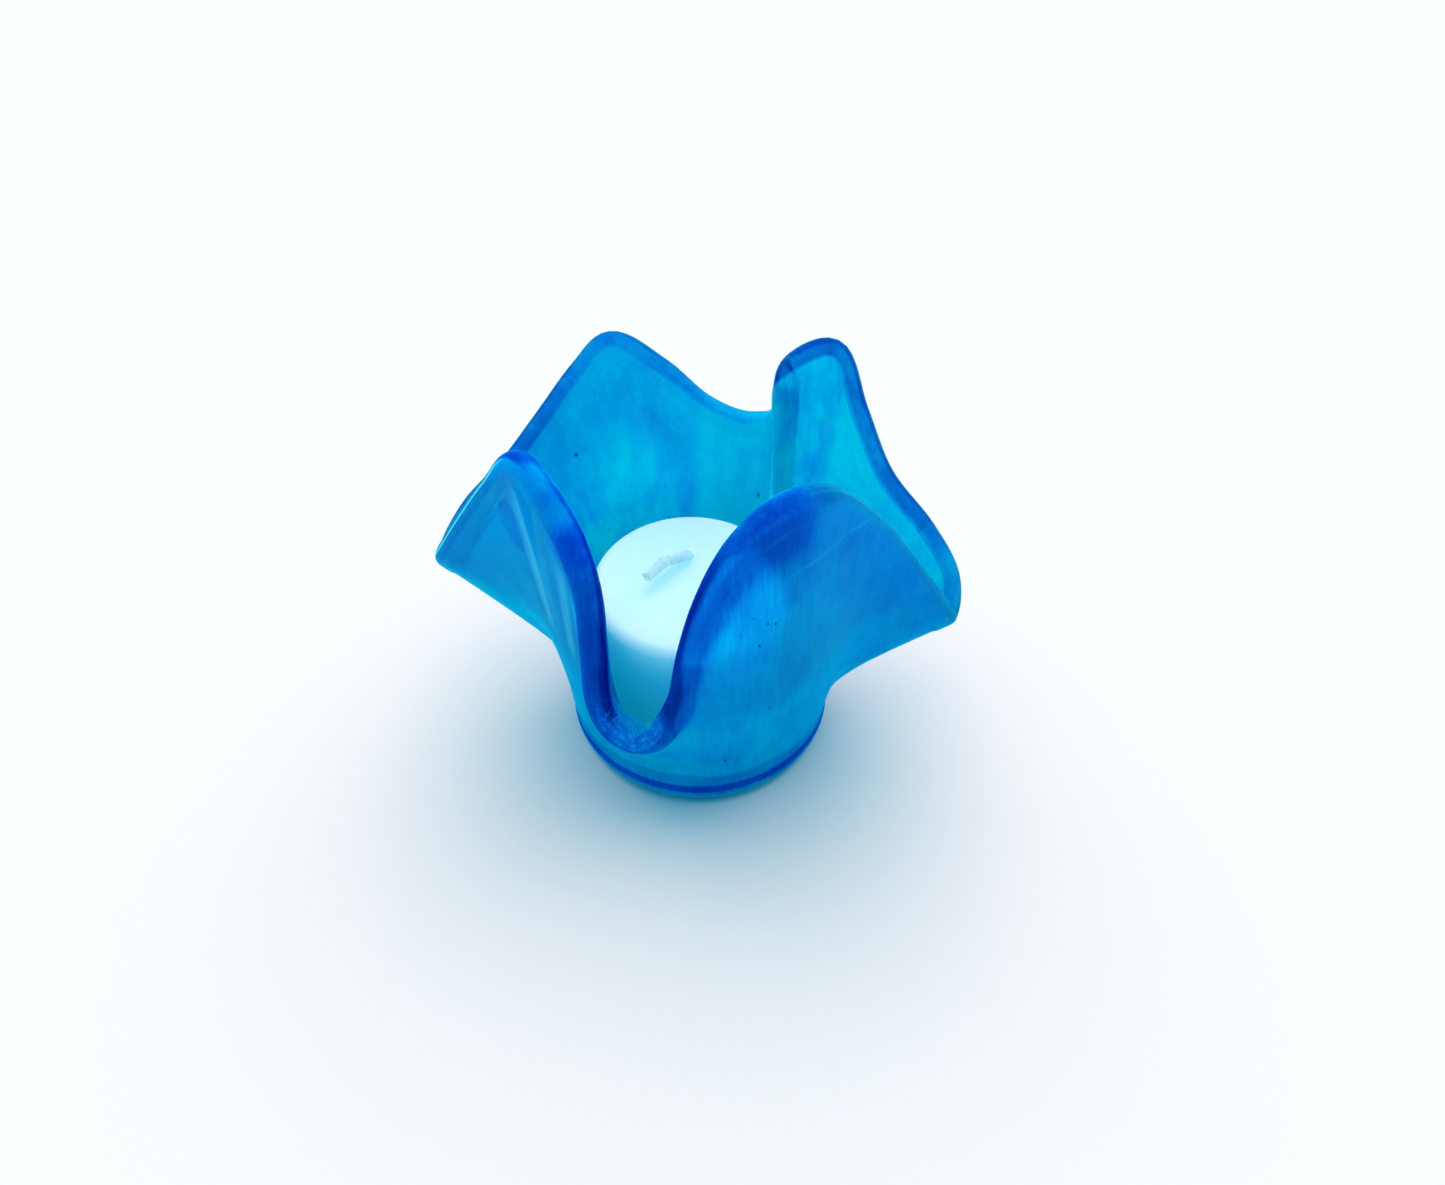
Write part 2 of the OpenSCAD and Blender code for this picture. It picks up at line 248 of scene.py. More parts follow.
brushed = add_node(tree, "ShaderNodeTexNoise", {
    "Vector": slanted, "Scale": BRUSH_MARKS, "Detail": 5.0, "Distortion": 0.5})
clouds = add_node(tree, "ShaderNodeTexNoise", {"Vector": place, "Scale": CLOUDS, "Detail": 4.0, "Distortion": 0.8})
grain = add_node(tree, "ShaderNodeTexNoise", {"Vector": place, "Scale": GRAINS, "Detail": 2.0})
print("patterns, in mm:", [round(1 / scale / MM, 1) for scale in (STREAKS, BRUSH_MARKS, CLOUDS, GRAINS)])

# %% Distances in metres: from the crease's height, from the middle of the painted dark reflection's oval in its own radii, and above the floor's edge
CREASE_UP = 0.065
# The oval is a painted dark reflection in the shine of the left lobe
OVAL_ALONG, OVAL_UP, OVAL_HALF_WIDTH, OVAL_HALF_HEIGHT = 0.2300, 0.0600, 0.0042, 0.0066
# The painted shade of the cup's floor seen through the wall ends in an edge made ragged by the clouds
RAGGED = 0.004
off_crease = add_node(tree, "ShaderNodeMath", {0: height, 1: -CREASE_UP}, operation="ADD")
off_crease = add_node(tree, "ShaderNodeMath", {0: off_crease}, operation="ABSOLUTE")
squares = []
for value, centre, half in ((along_edge, OVAL_ALONG, OVAL_HALF_WIDTH), (height, OVAL_UP, OVAL_HALF_HEIGHT)):
    part = add_node(tree, "ShaderNodeMath", {0: value, 1: -centre}, operation="ADD")
    part = add_node(tree, "ShaderNodeMath", {0: part, 1: 1 / half}, operation="MULTIPLY")
    squares.append(add_node(tree, "ShaderNodeMath", {0: part, 1: part}, operation="MULTIPLY"))
off_oval = add_node(tree, "ShaderNodeMath", {0: squares[0], 1: squares[1]}, operation="ADD")
off_oval = add_node(tree, "ShaderNodeMath", {0: off_oval}, operation="SQRT")
ragged = add_node(tree, "ShaderNodeMath", {0: clouds, 1: RAGGED}, operation="MULTIPLY")
above_floor = add_node(tree, "ShaderNodeMath", {0: height, 1: ragged}, operation="ADD")
print("oval:", round(2 * OVAL_HALF_WIDTH / MM, 1), "by", round(2 * OVAL_HALF_HEIGHT / MM, 1), "mm")

# %% Soft steps: what each reads, where it starts and ends, and what it goes from and to
steps = {
    "outer_face": (side, 0.1, 0.0, 0.0, 1.0),
    "polish": (side, 0.0, 1.0, 0.09, 0.16),
    "frosting": (frost, 0.0, 1.0, 0.0, 0.8),
    "sparks": (grain, 0.48, 0.72, 0.0, 0.3),
    "line_starts": (side, 0.27, 0.30, 0.0, 1.0),
    "line_ends": (side, 0.37, 0.34, 0.0, 1.0),
    "on_crease": (off_crease, 0.0006, 0.0002, 0.0, 1.0),
    "crease_starts": (along_edge, 0.363, 0.371, 0.0, 1.0),
    "in_oval": (off_oval, 1.1, 0.9, 0.0, 1.0),
    "below_floor": (above_floor, 0.0128, 0.0116, 0.0, 0.42),
    "above_foot": (height, 0.0020, 0.0035, 0.0, 1.0),
    "foot_starts": (height, 0.0034, 0.0049, 0.0, 1.0),
    "foot_ends": (height, 0.0077, 0.0058, 0.0, 1.3),
    "cloud": (clouds, 0.3, 0.7, -1.0, 1.0),
    "cloud_share": (side, 0.0, 1.0, 0.16, 0.24),
    "brush": (brushed, 0.3, 0.7, -1.0, 1.0),
    "brush_share": (side, 0.0, 1.0, 0.05, 0.20),
    "streak": (streaks, 0.3, 0.7, -1.0, 1.0),
}
for name, (value, start, end, low, high) in steps.items():
    steps[name] = add_node(tree, "ShaderNodeMapRange", {
        "Value": value, "From Min": start, "From Max": end, "To Min": low, "To Max": high},
        interpolation_type="SMOOTHSTEP")
print("soft steps:", len(steps))

# %% Each mark and pattern is a product of its steps
CREASE_SHARE, DARK_REFLECTION_SHARE = 0.18, 0.45
marks = {
    "near_edge": (near, steps["line_starts"], steps["line_ends"]),
    "crease": (CREASE_SHARE, steps["on_crease"], steps["crease_starts"], steps["outer_face"]),
    "oval": (DARK_REFLECTION_SHARE, steps["in_oval"], steps["outer_face"]),
    "sparkle": (frost, steps["sparks"]),
    "thick_floor": (steps["below_floor"], steps["outer_face"], steps["above_foot"]),
    "foot_line": (steps["foot_starts"], steps["foot_ends"]),
    "clouds": (steps["cloud"], steps["cloud_share"]),
    "brush_marks": (steps["brush"], steps["brush_share"]),
    "streaks": (steps["streak"], streaky),
}
for name, (*factors, product) in marks.items():
    for factor in reversed(factors):
        product = add_node(tree, "ShaderNodeMath", {0: factor, 1: product}, operation="MULTIPLY")
    marks[name] = product
# The pale lines: the painted highlight along the near edge, the frost's sparkle and the crease's line
lines = marks["near_edge"]
for name in ("sparkle", "crease"):
    lines = add_node(tree, "ShaderNodeMath", {0: lines, 1: marks[name]}, operation="MAXIMUM")
print("marks:", *marks)

# %% How deep the colour is: 0 in the wall, 1 in the bands of painted shade, 2 at the darkest painted edge, below 0 where it is paler, mostly as painted light
# Painted shade low on the outside: the cup's floor seen through the wall, and a dark band just above the foot's edge
low_down = add_node(tree, "ShaderNodeMath", {0: marks["thick_floor"], 1: marks["foot_line"]}, operation="MAXIMUM")
# The painted shade low down, the painted dark reflection and the glass's clouds, brush marks and streaks all deepen
# the colour
dark = depth
for part in (low_down, marks["clouds"], marks["brush_marks"], marks["streaks"], marks["oval"]):
    dark = add_node(tree, "ShaderNodeMath", {0: dark, 1: part}, operation="ADD")
light = add_node(tree, "ShaderNodeMath", {0: dark, 1: -1.0}, operation="MULTIPLY")
darkest = add_node(tree, "ShaderNodeMath", {0: dark, 1: -1.0}, operation="ADD")


def shades(colours):
    """The colour for each depth, from the lightest blue, mostly painted light, through the wall's own colour to deep
    and navy, mostly painted shade.
    """
    shade = colours["wall"]
    for share, name in ((light, "lightest"), (dark, "deep"), (darkest, "navy")):
        shade = add_node(tree, "ShaderNodeMix", {"Factor": share, "A": shade, "B": colours[name]}, data_type="RGBA")
    return shade


clear_colour, cloud_colour = shades(CLEAR_COLOURS), shades(CLOUD_COLOURS)
print("glass so far:", len(tree.nodes), "nodes")

# %% The clear glass: it bends light, and mirrors some of it at a glancing angle
FROST_ROUGHNESS, MIRROR_ROUGHNESS, GRAIN_HEIGHT = 0.35, 0.1, 0.0001
bump = add_node(tree, "ShaderNodeBump", {"Height": grain, "Strength": steps["frosting"], "Distance": GRAIN_HEIGHT})
frosted = add_node(tree, "ShaderNodeMath", {0: frost, 1: FROST_ROUGHNESS}, operation="MULTIPLY")
roughness = add_node(tree, "ShaderNodeMath", {0: steps["polish"], 1: frosted}, operation="ADD")
glancing = add_node(tree, "ShaderNodeFresnel", {"IOR": GLASS_IOR, "Normal": bump})
bending = add_node(tree, "ShaderNodeBsdfRefraction", {
    "Color": clear_colour, "Roughness": roughness, "IOR": GLASS_IOR, "Normal": bump})
# On the ridges the mirror turns whiter: a painted highlight
mirror_colour = add_node(tree, "ShaderNodeMix", {
    "Factor": shine, "A": MIRROR_COLOUR, "B": SHINE_COLOUR}, data_type="RGBA")
mirror = add_node(tree, "ShaderNodeBsdfAnisotropic", {
    "Color": mirror_colour, "Roughness": MIRROR_ROUGHNESS, "Normal": bump})
clear = add_node(tree, "ShaderNodeMixShader", {0: glancing, 1: bending, 2: mirror})
print("clear glass: IOR", GLASS_IOR)

# %% The haze in it, which glows where light falls on it, and the copper's colour in its depth
# The pale lines, the painted highlight among them, are cloudier and give the haze their pale colour
LINE_HAZE, FOOT_HAZE = 0.5, 0.3
HAZE_REACH = (0.001, 0.006, 0.012)
haze_colour = add_node(tree, "ShaderNodeMix", {"Factor": lines, "A": cloud_colour, "B": LINE_COLOUR}, data_type="RGBA")
haze = add_node(tree, "ShaderNodeBsdfPrincipled", {
    "Base Color": haze_colour, "Roughness": 0.5, "Specular IOR Level": 0.0, "Subsurface Weight": 1.0,
    "Subsurface Radius": HAZE_REACH, "Subsurface Scale": 1.0, "Normal": bump})
line_haze = add_node(tree, "ShaderNodeMath", {0: lines, 1: LINE_HAZE}, operation="MULTIPLY")
# The painted shade of the foot is also cloudier
foot_haze = add_node(tree, "ShaderNodeMath", {0: marks["foot_line"], 1: FOOT_HAZE}, operation="MULTIPLY")
added_haze = add_node(tree, "ShaderNodeMath", {0: line_haze, 1: foot_haze}, operation="ADD")
milky = add_node(tree, "ShaderNodeMath", {0: cloud, 1: added_haze}, operation="ADD")
shader = add_node(tree, "ShaderNodeMixShader", {0: milky, 1: clear, 2: haze})
absorb = add_node(tree, "ShaderNodeVolumeAbsorption", {"Color": linear("#00effd"), "Density": 300.0})
add_node(tree, "ShaderNodeOutputMaterial", {"Surface": shader, "Volume": absorb})
print("glass:", len(tree.nodes), "nodes")

# %% [markdown]
# ## The glass as a shape
# The sheet has one rule. Each wall line starts upright at the foot and bends out to its own
# point of the rim, and the rim is a smooth closed curve through a few main points, which
# are the tips and dips of the folds. So the wall is made as rows of points: under the foot,
# up the outside, over the rounded edge, down the inside and onto the floor. A simulated
# cloth would drape too, but only the rule meets the solid's own sizes. The numbers are
# those of the solid, and only the steps are finer.

# %% Sizes of the glass, in millimetres and degrees
GLASS_T, CUP_R, FLOOR_T = 5.2, 21.3, 6.0
WALL_T, BEAD_START, BEAD_END = 4.7, 2.4, 3.6
FOOT_R = CUP_R + GLASS_T
FOOT_ROUND, FLOOR_ROUND = 4.0, 1.5
WALL_LEAN, WALL_BEND, FOLD_FILL = 8.0, 0.52, 0.8
LIP_LIFT, LIP_WIDTH = 0.4, 13.0
WALL_Z = FLOOR_T + FLOOR_ROUND
MID_R = FOOT_R - GLASS_T / 2
# Each main point of the rim: direction, reach beyond the foot, height, direction of its
# wall line's foot, and the share of its height over which the line stays upright
MAIN = [
    (358, 22, 30, 355, 0.30), (405, 9, 73, 403, 0.34), (416, 3.6, 64, 409, 0.37),
    (436, 9.5, 48, 431, 0.41), (475, 14.5, 66, 473, 0.44), (527, 25.5, 33, 526, 0.18),
    (557, 4.5, 75, 558, 0.06), (609, 4.5, 24.8, 608, 0.55), (658, 1, 78, 656, 0.46),
]
# The points between them: share of the direction, bulge, share of the height and share of
# the foot's direction
BETWEEN = [
    [(0.15, 2.5, 0.10, 0.20), (0.32, 1, 0.25, 0.40), (0.55, -2.5, 0.47, 0.60), (0.79, -1.5, 0.74, 0.80)],
    [(0.75, -1, 0.30, 0.50)],
    [(0.20, 2.5, 0.56, 0.20), (0.55, 3.5, 0.94, 0.50)],
    [(0.33, -3.5, 0.28, 0.40), (0.69, -3.5, 0.75, 0.70)],
    [(0.17, -2, 0.12, 0.20), (0.44, -5, 0.35, 0.42), (0.68, -5.5, 0.56, 0.62), (0.87, -3, 0.74, 0.83)],
    [(0.34, -2, 0.42, 0.30), (0.71, -2, 0.80, 0.65)],
    [(0.32, -1.5, 0, 0.16), (0.53, -2, 0.12, 0.30), (0.65, -2, 0.34, 0.44), (0.71, -0.5, 0.59, 0.58),
     (0.76, 1, 0.82, 0.72), (0.85, 1, 0.94, 0.86)],
    [(0.14, -0.5, 0.03, 0.13), (0.24, -1.5, 0.11, 0.26), (0.32, -2, 0.21, 0.40), (0.39, -3, 0.40, 0.52),
     (0.54, -2, 0.68, 0.67), (0.75, -0.5, 0.91, 0.83)],
    [(0.29, -6.5, 0.03, 0.22), (0.62, -12, 0.21, 0.46), (0.86, -11.5, 0.48, 0.68), (0.94, -6, 0.75, 0.85)],
]
STEPS_BETWEEN, WALL_STEPS, RIM_STEPS, FOOT_STEPS, CORNER_STEPS = 8, 60, 10, 8, 6
print("rim:", sum(len(b) + 1 for b in BETWEEN), "points")


# %% The rim's points: direction, reach, height, direction of the foot and share that is upright
FULL_TURN = np.array([360, 0, 0, 360, 0.0])


def rim_points():
    """All points of the rim, with the ones between the main points bent and lifted off their line."""
    points = []
    for k, shares in enumerate(BETWEEN):
        a = np.array(MAIN[k], float)
        b = np.array(MAIN[k + 1], float) if k + 1 < len(MAIN) else MAIN[0] + FULL_TURN
        for s, bulge, rise, foot in [(0, 0, 0, 0)] + shares:
            az = math.radians(a[0] + (b[0] - a[0]) * s)
            r = FOOT_R + a[1] + (b[1] - a[1]) * s + bulge
            upright = a[4] + (b[4] - a[4]) * foot * foot * (3 - 2 * foot)
            height, foot_az = a[2] + (b[2] - a[2]) * rise, a[3] + (b[3] - a[3]) * foot
            points.append((r * math.cos(az), r * math.sin(az), height, foot_az, upright))
    return np.array(points)


print("first point of the rim:", [round(float(v), 1) for v in rim_points()[0]])


# %% The rim's curve
def smooth_loop(points, steps):
    """The closed curve through the points, with knots spaced by the root of their distances."""
    turn = np.array([0, 0, 0, 360.0, 0])
    n = len(points)
    knot = lambda i: points[i % n] + (i // n) * turn
    gap = lambda i: math.sqrt(np.linalg.norm((knot(i + 1) - knot(i))[:3]))
    slope = lambda i: ((knot(i) - knot(i - 1)) / gap(i - 1)
                       - (knot(i + 1) - knot(i - 1)) / (gap(i - 1) + gap(i))
                       + (knot(i + 1) - knot(i)) / gap(i))
    return np.array([
        (2 * t**3 - 3 * t**2 + 1) * knot(i) + (t**3 - 2 * t**2 + t) * gap(i) * slope(i)
        + (3 * t**2 - 2 * t**3) * knot(i + 1) + (t**3 - t**2) * gap(i) * slope(i + 1)
        for i in range(n) for t in np.arange(steps) / steps])


rim = smooth_loop(rim_points(), STEPS_BETWEEN)
run = np.concatenate([[0], np.cumsum(np.linalg.norm(np.diff(rim[:, :3], axis=0), axis=1))])
print("rim:", len(rim), "columns,", round(run[-1]), "mm round")


# %% The middle of the wall, in rows that lie closer together towards the edge
CLOSER_UP = 1.35


def unit(v):
    """The same directions, each of length 1."""
    return v / np.linalg.norm(v, axis=-1, keepdims=True)


az = np.radians(rim[:, 3])
radial = np.column_stack([np.cos(az), np.sin(az), 0 * az])
UP = np.array([0, 0, 1.0])
lifted = rim[:, 4] + LIP_LIFT * np.exp(-(((rim[:, 3] - MAIN[7][3]) / LIP_WIDTH) ** 2))
rise = (lifted * (rim[:, 2] - WALL_Z))[:, None]
lean = math.radians(WALL_LEAN)
start = MID_R * radial + WALL_Z * UP
first = start + rise * (math.sin(lean) * radial + math.cos(lean) * UP)
end = rim[:, :3]
second = first + (end - first) * WALL_BEND
share_up = 1 - (1 - np.linspace(0, 1, WALL_STEPS + 1)) ** CLOSER_UP
v = share_up[:, None, None]
mid = (1 - v) ** 3 * start + 3 * (1 - v) ** 2 * v * first + 3 * (1 - v) * v**2 * second + v**3 * end
step = np.linalg.norm(np.diff(mid, axis=0), axis=-1)
below_rim = np.concatenate([np.cumsum(step[::-1], 0)[::-1], np.zeros((1, len(rim)))])
print("wall lines:", round(below_rim[0].min()), "to", round(below_rim[0].max()), "mm long")


# %% The two faces of the wall
SMOOTHINGS, FULL_FOOT = 6, 8


def ease(x):
    """Goes softly from 0 to 1 while x does, and stays there."""
    x = np.clip(x, 0, 1)
    return x * x * (3 - 2 * x)


along = np.roll(mid, -1, 1) - np.roll(mid, 1, 1)
climb = np.concatenate([mid[1:2] - mid[:1], mid[2:] - mid[:-2], mid[-1:] - mid[-2:-1]])
out = unit(np.cross(along, climb))
for _ in range(SMOOTHINGS):
    out = unit(np.roll(out, 1, 1) + 2 * out + np.roll(out, -1, 1))
out[0] = radial
over = unit(np.cross(out[-1], along[-1]))
turning = ((np.roll(out, -1, 1) - np.roll(out, 1, 1)) * along).sum(-1) / (along * along).sum(-1)
# A tight fold keeps less glass on its inside, and the wall thins a little below the bead of its edge
full = ease((BEAD_END - below_rim) / (BEAD_END - BEAD_START))
full = np.maximum(full, ease(1 - (below_rim[0] - below_rim) / FULL_FOOT))
thick = GLASS_T / 2 * (1 - (1 - WALL_T / GLASS_T) * (1 - full))
outside, inside = (
    thick / np.sqrt(1 + (GLASS_T / 2 * np.maximum(t, 0) / FOLD_FILL) ** 2) for t in (-turning, turning))
outside[0] = inside[0] = GLASS_T / 2
print("wall:", round(float((outside + inside).min()), 1), "to", round(float((outside + inside).max()), 1), "mm thick")

# %% All rings of the glass, with the side and the distance to the edge for each
FAR_FROM_EDGE = 60.0
rings, sides, edges = [], [], []


def ring(points, side, edge=FAR_FROM_EDGE):
    """Adds a ring of points, on the outside (0), the inside (1) or between them on the edge."""
    rings.append(points)
    sides.append(np.full(len(points), float(side)))
    edges.append(np.broadcast_to(edge, len(points)))


for t in np.linspace(0, math.pi / 2, FOOT_STEPS + 1):
    ring((FOOT_R - FOOT_ROUND * (1 - math.sin(t))) * radial + FOOT_ROUND * (1 - math.cos(t)) * UP, 0)
for k in range(WALL_STEPS + 1):
    ring(mid[k] + outside[k][:, None] * out[k], 0, below_rim[k])
middle = mid[-1] + ((outside - inside)[-1] / 2)[:, None] * out[-1]
edge_r = ((outside + inside)[-1] / 2)[:, None]
for t in np.linspace(0, math.pi, RIM_STEPS + 1)[1:-1]:
    ring(middle + edge_r * (math.cos(t) * out[-1] + math.sin(t) * over), t / math.pi, 0.0)
for k in range(WALL_STEPS, -1, -1):
    ring(mid[k] - inside[k][:, None] * out[k], 1, below_rim[k])
for t in np.linspace(0, math.pi / 2, CORNER_STEPS + 1)[1:]:
    ring((CUP_R - FLOOR_ROUND * (1 - math.cos(t))) * radial + (WALL_Z - FLOOR_ROUND * math.sin(t)) * UP, 1)
rings, sides, edges = np.array(rings), np.array(sides), np.array(edges)
count, n = sides.shape
print("rings:", count, "of", n, "points")

# %% The glass mesh, closed by a fan under the foot and one on the floor
# Finer steps follow the curves a tenth of a millimetre further out than the solid's, so the
# points are drawn back to its box
JUST_BELOW_ZERO = -1e-6
points = np.concatenate([rings.reshape(-1, 3), [[0, 0, 0], [0, 0, FLOOR_T]]])
low, high = (np.array(corner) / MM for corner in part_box("glass_holder"))
drawn_up = points * np.minimum(1, low / np.minimum(points.min(0), JUST_BELOW_ZERO))
drawn_down = points * np.minimum(1, high / points.max(0))
points = np.where(points < 0, drawn_up, drawn_down)
after = np.roll(np.arange(n), -1)
faces = [
    (k * n + j, k * n + q, k * n + n + q, k * n + n + j) for k in range(count - 1) for j, q in enumerate(after)]
faces += [(count * n, q, j) for j, q in enumerate(after)]
faces += [(count * n + 1, (count - 1) * n + j, (count - 1) * n + q) for j, q in enumerate(after)]
cup = mesh_object("glass_cup", points * MM, faces, glass)
print("glass cup:", len(points), "points,", len(faces), "faces")

# %% [markdown]
# ## Where the glass is deep, pale, cloudy or frosted, and where light and shade are painted
# The real sheet isn't even, and much of its look comes from how light passes through the
# bent glass, which is painted into its colour. So it is painted deepest, as shade, along the
# two lobes beside the front dip, where it curls towards the viewer, along its edges and round
# the foot. It is painted palest, as light, in the wings and low at the back, where light
# comes through from behind. Each such place is a soft window along the rim (in millimetres
# from the right wing's tip) and down from the edge, and it is kept on the points for the
# material to read.


# %% Places on the sheet, as soft windows along the rim, up from the foot and down from the edge, in millimetres
def window(x, start, end, soft):
    """1 from start to end, and down to 0 over a soft edge outside them."""
    return ease((x - start) / soft + 1) * ease((end - x) / soft + 1)


along_rim = np.broadcast_to(run, (count, n))
heights = rings[:, :, 2]
at_rim, at_height, from_edge = (partial(window, x) for x in (along_rim, heights, edges))
outer, inner = sides < 0.02, sides > 0.98
bead = ~outer & ~inner
print("points on the rounded edge:", int(bead.sum()))

# %% The two lobes beside the front dip, and the painted shade of their edge bands and of the rounded rim
DIP, LEFT_LOBE, RIGHT_LOBE = 301.0, 254.0, 366.0
BAND_REACH, BAND_GROWS = 10.0, 30.0
right_of_dip = along_rim > DIP
reach = BAND_REACH * np.clip(np.abs(along_rim - DIP) / BAND_GROWS, 0, 1)
soft_reach = np.maximum(reach * np.where(right_of_dip, 1.0, 0.7), 0.5)
band = window(edges, -1, reach * np.where(right_of_dip, 0.45, 0.3), soft_reach)
lobe = at_rim(LEFT_LOBE, RIGHT_LOBE, 8) * band * (outer | bead)
# A navy line of painted shade along the contour of the rounded edge beside the dip
contour = bead * np.maximum(at_rim(240, 290, 6) * (sides > 0.65), at_rim(314, 350, 5) * (sides > 0.25))
# How much painted shade the rounded edge gets along the rim, in millimetres from the right wing's tip
RIM_SHADES = [
    (0, 0), (10, 0.1), (20, 0.9), (50, 1.0), (58, 1.1), (70, 0.8), (80, 0.05), (104, 0.05), (112, 0.9), (122, 0.7),
    (134, 0.7), (145, 1.0), (176, 1.0), (190, 0.3), (244, 0.3), (258, 0.6), (350, 0.7), (366, 0.6), (378, 0.2),
    (425, 0.2), (429, 0)]
rim_shade = np.interp(run, *zip(*RIM_SHADES))
print("rim shades:", len(RIM_SHADES))

# %% Places inside the cup
# Painted light where light comes through from behind: lighter at the back, low at the back and in the wings. Darker at
# the back left and just under the lip, the fold lighter and cloudier, and the lip frosted
bright_back = at_rim(82, 105, 7) * inner
dim_back = at_rim(113, 122, 6) * from_edge(12, 34, 9)
dim_back = np.maximum(dim_back, 0.35 * at_rim(118, 176, 8) * from_edge(-1, 30, 12)) * inner
low_back = at_rim(84, 190, 14) * from_edge(26, 80, 16) * inner
wing = np.maximum(at_rim(-1, 46, 10), at_rim(424, 500, 6)) * from_edge(0.3, 60, 0.5) * inner
fold = at_rim(60, 76, 6) * inner
fold_streaks = at_rim(56, 78, 6) * inner
under_lip = at_rim(276, 320, 8) * from_edge(-1, 9, 5) * inner
lip = at_rim(292, 308, 6) * (from_edge(-1, 7, 4) * inner + bead * (sides > 0.4))
print("points on the frosted lip:", int((lip > 0.5).sum()))

# %% Places outside the cup
upper = at_rim(335, 390, 12) * at_height(63, 90, 7) * outer
patch = at_rim(353, 361, 3) * at_height(48, 60, 6) * outer
lobe_streaks = at_rim(350, 366, 4) * at_height(36, 66, 8) * outer
low_body = at_height(3, 24, 16) * outer
left_wing = at_rim(184, 228, 8) * at_height(24, 80, 8) * outer
right_wing = at_rim(382, 424, 10) * from_edge(-1, 16, 12) * outer
# A dark crescent of painted shade on the left wing's rounded edge, inside its light line
crescent = at_rim(184, 236, 6) * ((sides > 0.35) & (edges < 4))
crown = at_rim(234, 254, 8) * bead
# Painted highlights down the ridges of the left lobe, where the mirror turns whiter and the colour lighter
ridge = np.maximum(at_rim(251, 254, 3) * at_height(40, 56, 9), at_rim(234, 237, 2) * at_height(40, 68, 9))
ridge = np.maximum(ridge, 0.7 * at_rim(225, 232, 4) * at_height(67, 76, 5)) * outer
# A painted highlight: a light line along the near edge of the left wing, faint on the right wing
near_edge = np.maximum(at_rim(188, 230, 6), 0.08 * at_rim(372, 424, 6))
print("points on the shining ridges:", int((ridge > 0.5).sum()))

# %% What each place adds to the depth of the colour and to the cloudiness
ADDED = [
    (lobe, 0.0, 0.30), (bead, 0.0, 0.20), (crown, 0.0, 0.42), (patch, 0.25, 0.05), (upper, 0.25, 0.0),
    (crescent, 1.3, 0.0), (low_body, 0.06, 0.40), (low_back, -0.95, 0.35), (wing, -1.0, 0.40),
    (bright_back, -0.8, 0.0), (dim_back, 0.4, 0.0), (under_lip, 0.6, 0.25), (left_wing, -0.25, 0.0),
    (right_wing, 0.22, 0.0), (lip, -0.15, 0.20), (ridge, -0.3, 0.0), (fold, -0.6, 0.50)]
CLOUDY_OUTSIDE, CLOUDY_INSIDE = 0.34, 0.13
# How much painted shade the lobe bands, a little more left of the dip, and the contour line get
LOBE_DEPTH, LEFT_OF_DIP_DEPTH, CONTOUR_DEPTH = 1.0, 0.05, 0.8
depth_of = (LOBE_DEPTH + LEFT_OF_DIP_DEPTH * (along_rim < DIP)) * lobe + CONTOUR_DEPTH * contour
depth_of = np.maximum(depth_of, bead * rim_shade)
cloud_of = np.where(outer, CLOUDY_OUTSIDE, CLOUDY_INSIDE)
for where, deeper, cloudier in ADDED:
    depth_of = depth_of + deeper * where
    cloud_of = cloud_of + cloudier * where
STREAKY, LOBE_STREAKY, FOLD_STREAKY, FROSTED = 0.08, 0.08, 0.10, 0.9
streaky_of = STREAKY + LOBE_STREAKY * lobe_streaks + FOLD_STREAKY * fold_streaks
print("depth of colour:", round(float(depth_of.min()), 2), "to", round(float(depth_of.max()), 2))

# %% The values go onto the points, with those of the two points in the middle of the foot and floor
# depth carries the painted light and shade, shine the painted highlight on the ridges, and near where the painted edge
# highlight lies
for name, values, middles in (
        ("kiln_side", sides, (0, 1)), ("along_edge", along_rim * MM, (0, 0)), ("depth", depth_of, (0.8, 0)),
        ("cloud", cloud_of, (0.5, 0.2)), ("frost", FROSTED * lip, (0, 0)), ("shine", ridge, (0, 0)),
        ("streaky", streaky_of, (0.1, 0.1)), ("near", near_edge, (0, 0))):
    point_values(cup.data, name, np.concatenate([np.ravel(values), middles]))
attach(cup, "holder")
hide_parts("glass_holder")
print("cloudy share:", round(float(cloud_of.min()), 2), "to", round(float(cloud_of.max()), 2))

# %% [markdown]
# ## Trees of geometry nodes
# What repeats or follows a line is made by geometry nodes: a tree states the rule once, and
# its named inputs hold the sizes. Each tree works on a bare mesh of points or edges. Its
# result is then made a plain mesh, with nothing left to evaluate.


# %% Making and running a tree
def new_tree(name, **sockets):
    """A geometry tree with its named inputs, and their sockets by name."""
    tree = bpy.data.node_groups.new(name, "GeometryNodeTree")
    tree.interface.new_socket("Geometry", in_out="OUTPUT", socket_type="NodeSocketGeometry")
    for label, kind in {"Geometry": "Geometry", **sockets, "Material": "Material"}.items():
        label = label.replace("_", " ")
        tree.interface.new_socket(label, in_out="INPUT", socket_type="NodeSocket" + kind)
    given = add_node(tree, "NodeGroupInput")
    return tree, {s.name: s for s in given.outputs if s.name}


def finish_tree(tree, geometry, material):
    """Ends a tree with real, smooth faces in the given material."""
    real = add_node(tree, "GeometryNodeRealizeInstances", {"Geometry": geometry})
    smooth = add_node(tree, "GeometryNodeSetShadeSmooth", {"Geometry": real})
    last = add_node(tree, "GeometryNodeSetMaterial", {"Geometry": smooth, "Material": material})
    add_node(tree, "NodeGroupOutput", {"Geometry": last})


